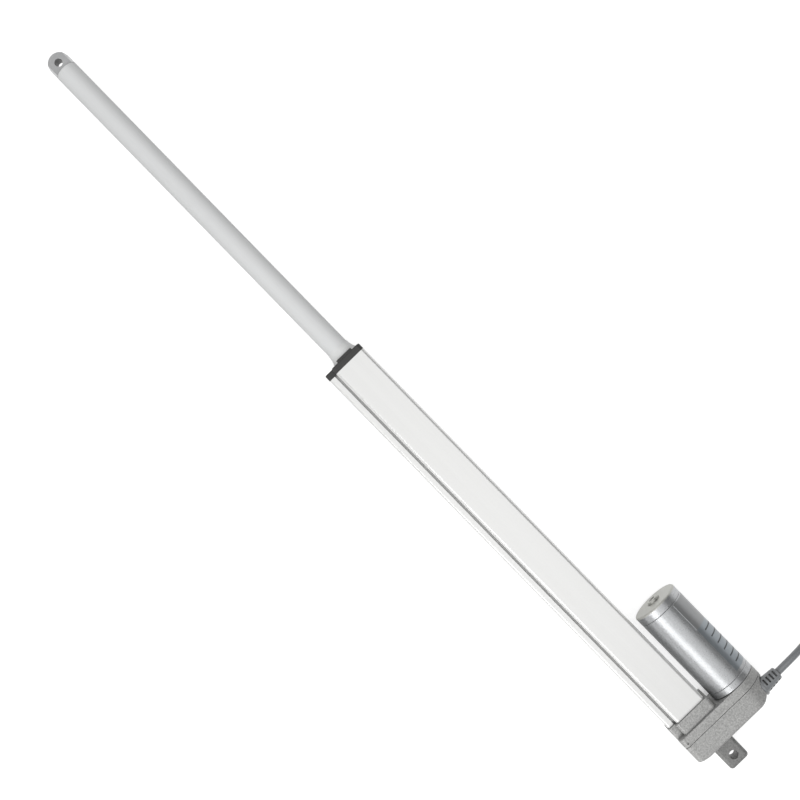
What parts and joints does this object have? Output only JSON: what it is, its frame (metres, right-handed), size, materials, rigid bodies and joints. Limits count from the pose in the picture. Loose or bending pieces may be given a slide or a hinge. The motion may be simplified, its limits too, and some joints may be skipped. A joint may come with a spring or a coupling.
{
  "type": "electric linear actuator",
  "caption": "Electric linear actuator: a rod driven out of an extruded tube by a side motor and gearbox, with a pin hole at each end and a coiled supply cable.",
  "frame": {"origin": "centre of the rear pin hole, halfway through the rear lug", "axes": "+X along the stroke, from the rear pin hole to the rod's tip; +Z along both pin holes; the motor lies on the -Y side"},
  "size_m": [0.8954, 0.2544, 0.043],
  "materials": {
    "cast_alloy": "sand-grained die cast alloy",
    "anodised": "satin anodised extrusion",
    "rod_steel": "satin steel tube",
    "end_alloy": "matte machined alloy",
    "motor_steel": "zinc-plated steel",
    "end_bell": "grey cast metal",
    "black_plastic": "moulded, matte",
    "pale_plastic": "pale moulded plastic",
    "white_plastic": "acetal",
    "dark_seal": "rubber",
    "screw_steel": "zinc-plated",
    "bearing_steel": "polished",
    "gear_steel": "sintered",
    "gear_plastic": "glass-filled nylon",
    "bronze": "sintered bronze",
    "magnet": "ferrite",
    "lamination": "laminated steel",
    "copper": "enamelled copper",
    "carbon": "graphite",
    "board": "glass-fibre board",
    "cable_grey": "grey soft PVC",
    "plug_black": "moulded PVC",
    "plug_metal": "nickel plated"
  },
  "bodies": {
    "housing": {"rear_housing": "cast_alloy", "housing_gasket": "dark_seal", "front_housing": "cast_alloy", "profile_tube": "anodised", "socket_seal": "dark_seal", "front_cap": "black_plastic", "rod_wiper": "pale_plastic", "guide_bush": "white_plastic", "case_screws": "screw_steel", "motor_screws": "screw_steel", "tube_screws": "screw_steel", "cap_screws": "screw_steel", "rear_bearing": "bearing_steel", "front_bearing": "bearing_steel", "idler_axle": "screw_steel", "motor_base": "motor_steel", "motor_can": "motor_steel", "motor_end_bell": "end_bell", "motor_front_bush": "bronze", "motor_rear_bush": "bronze", "motor_magnets": "magnet", "brush_holder": "black_plastic", "motor_brushes": "carbon", "switch_board": "board", "limit_switches": "black_plastic", "strain_relief": "cable_grey", "power_cable": "cable_grey", "cable_coil": "cable_grey", "cable_tail": "cable_grey", "plug_grip": "plug_black", "plug_barrel": "plug_metal"},
    "rod": {"drive_nut": "white_plastic", "rod_tube": "rod_steel", "rod_end": "end_alloy"},
    "screw": {"lead_screw": "screw_steel", "screw_gear": "gear_plastic", "gear_key": "gear_steel", "gear_clip": "gear_steel", "gear_sleeve": "gear_steel", "screw_guide": "white_plastic"},
    "idler": {"idler_gear": "gear_plastic"},
    "rotor": {"motor_shaft": "gear_steel", "motor_pinion": "gear_steel", "armature_core": "lamination", "armature_windings": "copper", "commutator": "copper"},
    "retract_button": {"retract_plunger": "black_plastic"},
    "extend_button": {"extend_plunger": "black_plastic"}
  },
  "joints": [
    {"name": "rod_slide", "type": "slide", "parent": "housing", "child": "rod", "axis": [1, 0, 0], "range_m": [-0.328, 0.022]},
    {"name": "screw_spin", "type": "hinge", "parent": "housing", "child": "screw", "pos_m": [0.05, 0, 0], "axis": [1, 0, 0], "range_deg": [-1980.01, 29520.01]},
    {"name": "idler_spin", "type": "hinge", "parent": "housing", "child": "idler", "pos_m": [0.03, -0.0216, 0], "axis": [1, 0, 0], "range_deg": [-76752.01, 5148.01]},
    {"name": "motor_spin", "type": "hinge", "parent": "housing", "child": "rotor", "pos_m": [0.09, -0.0424, 0], "axis": [1, 0, 0], "range_deg": [-15444.01, 230256.01]},
    {"name": "retract_switch_press", "type": "slide", "parent": "housing", "child": "retract_button", "axis": [0, 1, 0], "range_m": [0, 0.0005], "stiffness_N_per_m": 200},
    {"name": "extend_switch_press", "type": "slide", "parent": "housing", "child": "extend_button", "axis": [0, 1, 0], "range_m": [0, 0.0005], "stiffness_N_per_m": 200}
  ],
  "couplings": [
    {"joint": "screw_spin", "follows": "rod_slide", "rad_per_m": -1570.8},
    {"joint": "idler_spin", "follows": "rod_slide", "rad_per_m": 4084.1},
    {"joint": "motor_spin", "follows": "rod_slide", "rad_per_m": -12252}
  ]
}
